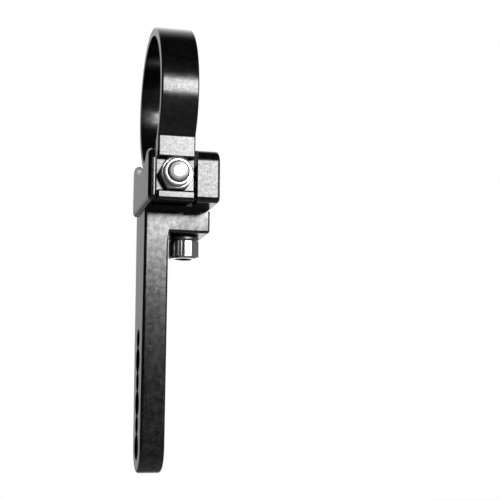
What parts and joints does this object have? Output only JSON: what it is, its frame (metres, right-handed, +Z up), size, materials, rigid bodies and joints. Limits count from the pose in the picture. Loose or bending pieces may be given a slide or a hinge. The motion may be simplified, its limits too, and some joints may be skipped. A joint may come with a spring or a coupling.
{
  "type": "light bracket",
  "caption": "Lamp bracket for a motorcycle fork: a strap loop clamps the tube on a saddle block, and a flat arm hangs below with a chain of bolt holes.",
  "frame": {"origin": "on the axis of the fork tube, in the middle of the strap's width", "axes": "+X along the fork tube, +Y away from the nut, +Z up with the lamp arm hanging down"},
  "size_m": [0.0228, 0.0486, 0.1443],
  "materials": {
    "black_coat": "black anodised, satin",
    "bright_steel": "polished stainless",
    "nylon": "plain dark nylon"
  },
  "bodies": {
    "root": {"fork_strap": "black_coat", "saddle_block": "black_coat", "lamp_arm": "black_coat", "clamp_stud": "bright_steel", "lock_nut": "bright_steel", "nut_insert": "nylon", "spring_washer": "bright_steel", "arm_screw": "bright_steel"}
  },
  "joints": []
}
